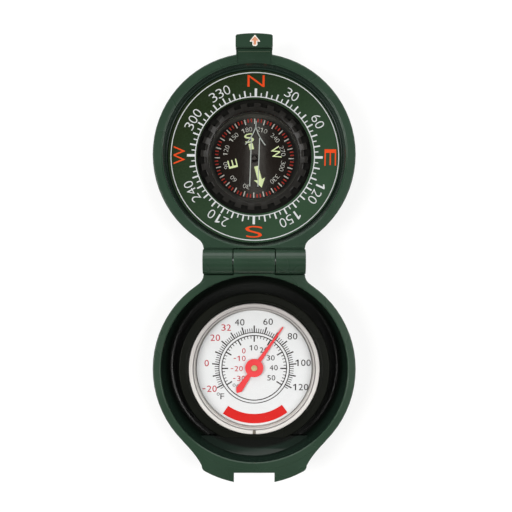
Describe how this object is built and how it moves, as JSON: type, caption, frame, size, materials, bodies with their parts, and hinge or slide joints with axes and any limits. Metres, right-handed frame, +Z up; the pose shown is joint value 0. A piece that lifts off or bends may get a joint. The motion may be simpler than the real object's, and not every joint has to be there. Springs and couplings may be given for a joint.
{
  "type": "folding magnetic compass with thermometer",
  "caption": "Folding clamshell pocket compass with a turning dial capsule in the lid, a dial thermometer in the base, a knuckle hinge and a snap latch.",
  "frame": {"origin": "centre of the open case's footprint, on the plane that both flat backs rest on", "axes": "+X along the hinge pin, +Y from the thermometer half to the compass half, +Z up out of the two dials"},
  "size_m": [0.063, 0.1384, 0.018],
  "materials": {
    "case_green": "moulded dark green plastic, satin",
    "dial_green": "printed green dial, satin",
    "ring_black": "moulded black plastic",
    "holder_black": "moulded black plastic, slightly glossy",
    "clear_lens": "clear acrylic, polished",
    "rubber_black": "soft black rubber",
    "card_black": "matt black card",
    "magnet_grey": "dull grey magnet alloy",
    "brass": "turned brass",
    "steel": "drawn steel",
    "bimetal": "rolled bimetal strip",
    "case_white": "moulded white plastic",
    "scale_white": "white printed dial sheet",
    "pointer_red": "red paint on thin metal",
    "print_white": "white dial print",
    "print_orange": "orange dial print",
    "print_red": "red dial print",
    "print_black": "black dial print",
    "luminous": "pale green luminous paint"
  },
  "bodies": {
    "cup": {"cup_shell": "case_green", "hinge_pin": "steel", "thermometer_holder": "holder_black", "thermometer_case": "case_white", "thermometer_dial": "scale_white", "bimetal_coil": "bimetal", "coil_post": "brass", "spindle_bush": "brass", "thermometer_lens": "clear_lens", "thermometer_bezel": "case_white"},
    "lid": {"lid_shell": "case_green", "dial_plate": "dial_green"},
    "capsule": {"bezel_ring": "ring_black", "capsule_body": "ring_black", "capsule_lens": "clear_lens", "lens_gasket": "rubber_black", "friction_ring": "rubber_black", "filler_plug": "ring_black", "pivot_pin": "steel"},
    "card": {"compass_card": "card_black", "card_magnet": "magnet_grey", "jewel_cup": "card_black"},
    "pointer": {"thermometer_pointer": "pointer_red", "pointer_spindle": "brass"}
  },
  "joints": [
    {"name": "lid_hinge", "type": "hinge", "parent": "cup", "child": "lid", "pos_m": [0, -0.00082, 0.01415], "axis": [1, 0, 0], "range_deg": [0, 180]},
    {"name": "bezel_turn", "type": "hinge", "parent": "lid", "child": "capsule", "pos_m": [0, 0.03213, 0.01], "axis": [0, 0, 1], "continuous": true},
    {"name": "card_turn", "type": "hinge", "parent": "lid", "child": "card", "pos_m": [0, 0.03213, 0.0054], "axis": [0, 0, 1], "continuous": true},
    {"name": "pointer_turn", "type": "hinge", "parent": "cup", "child": "pointer", "pos_m": [0, -0.03462, 0.0075], "axis": [0, 0, 1], "range_deg": [-83, 153.5]}
  ]
}
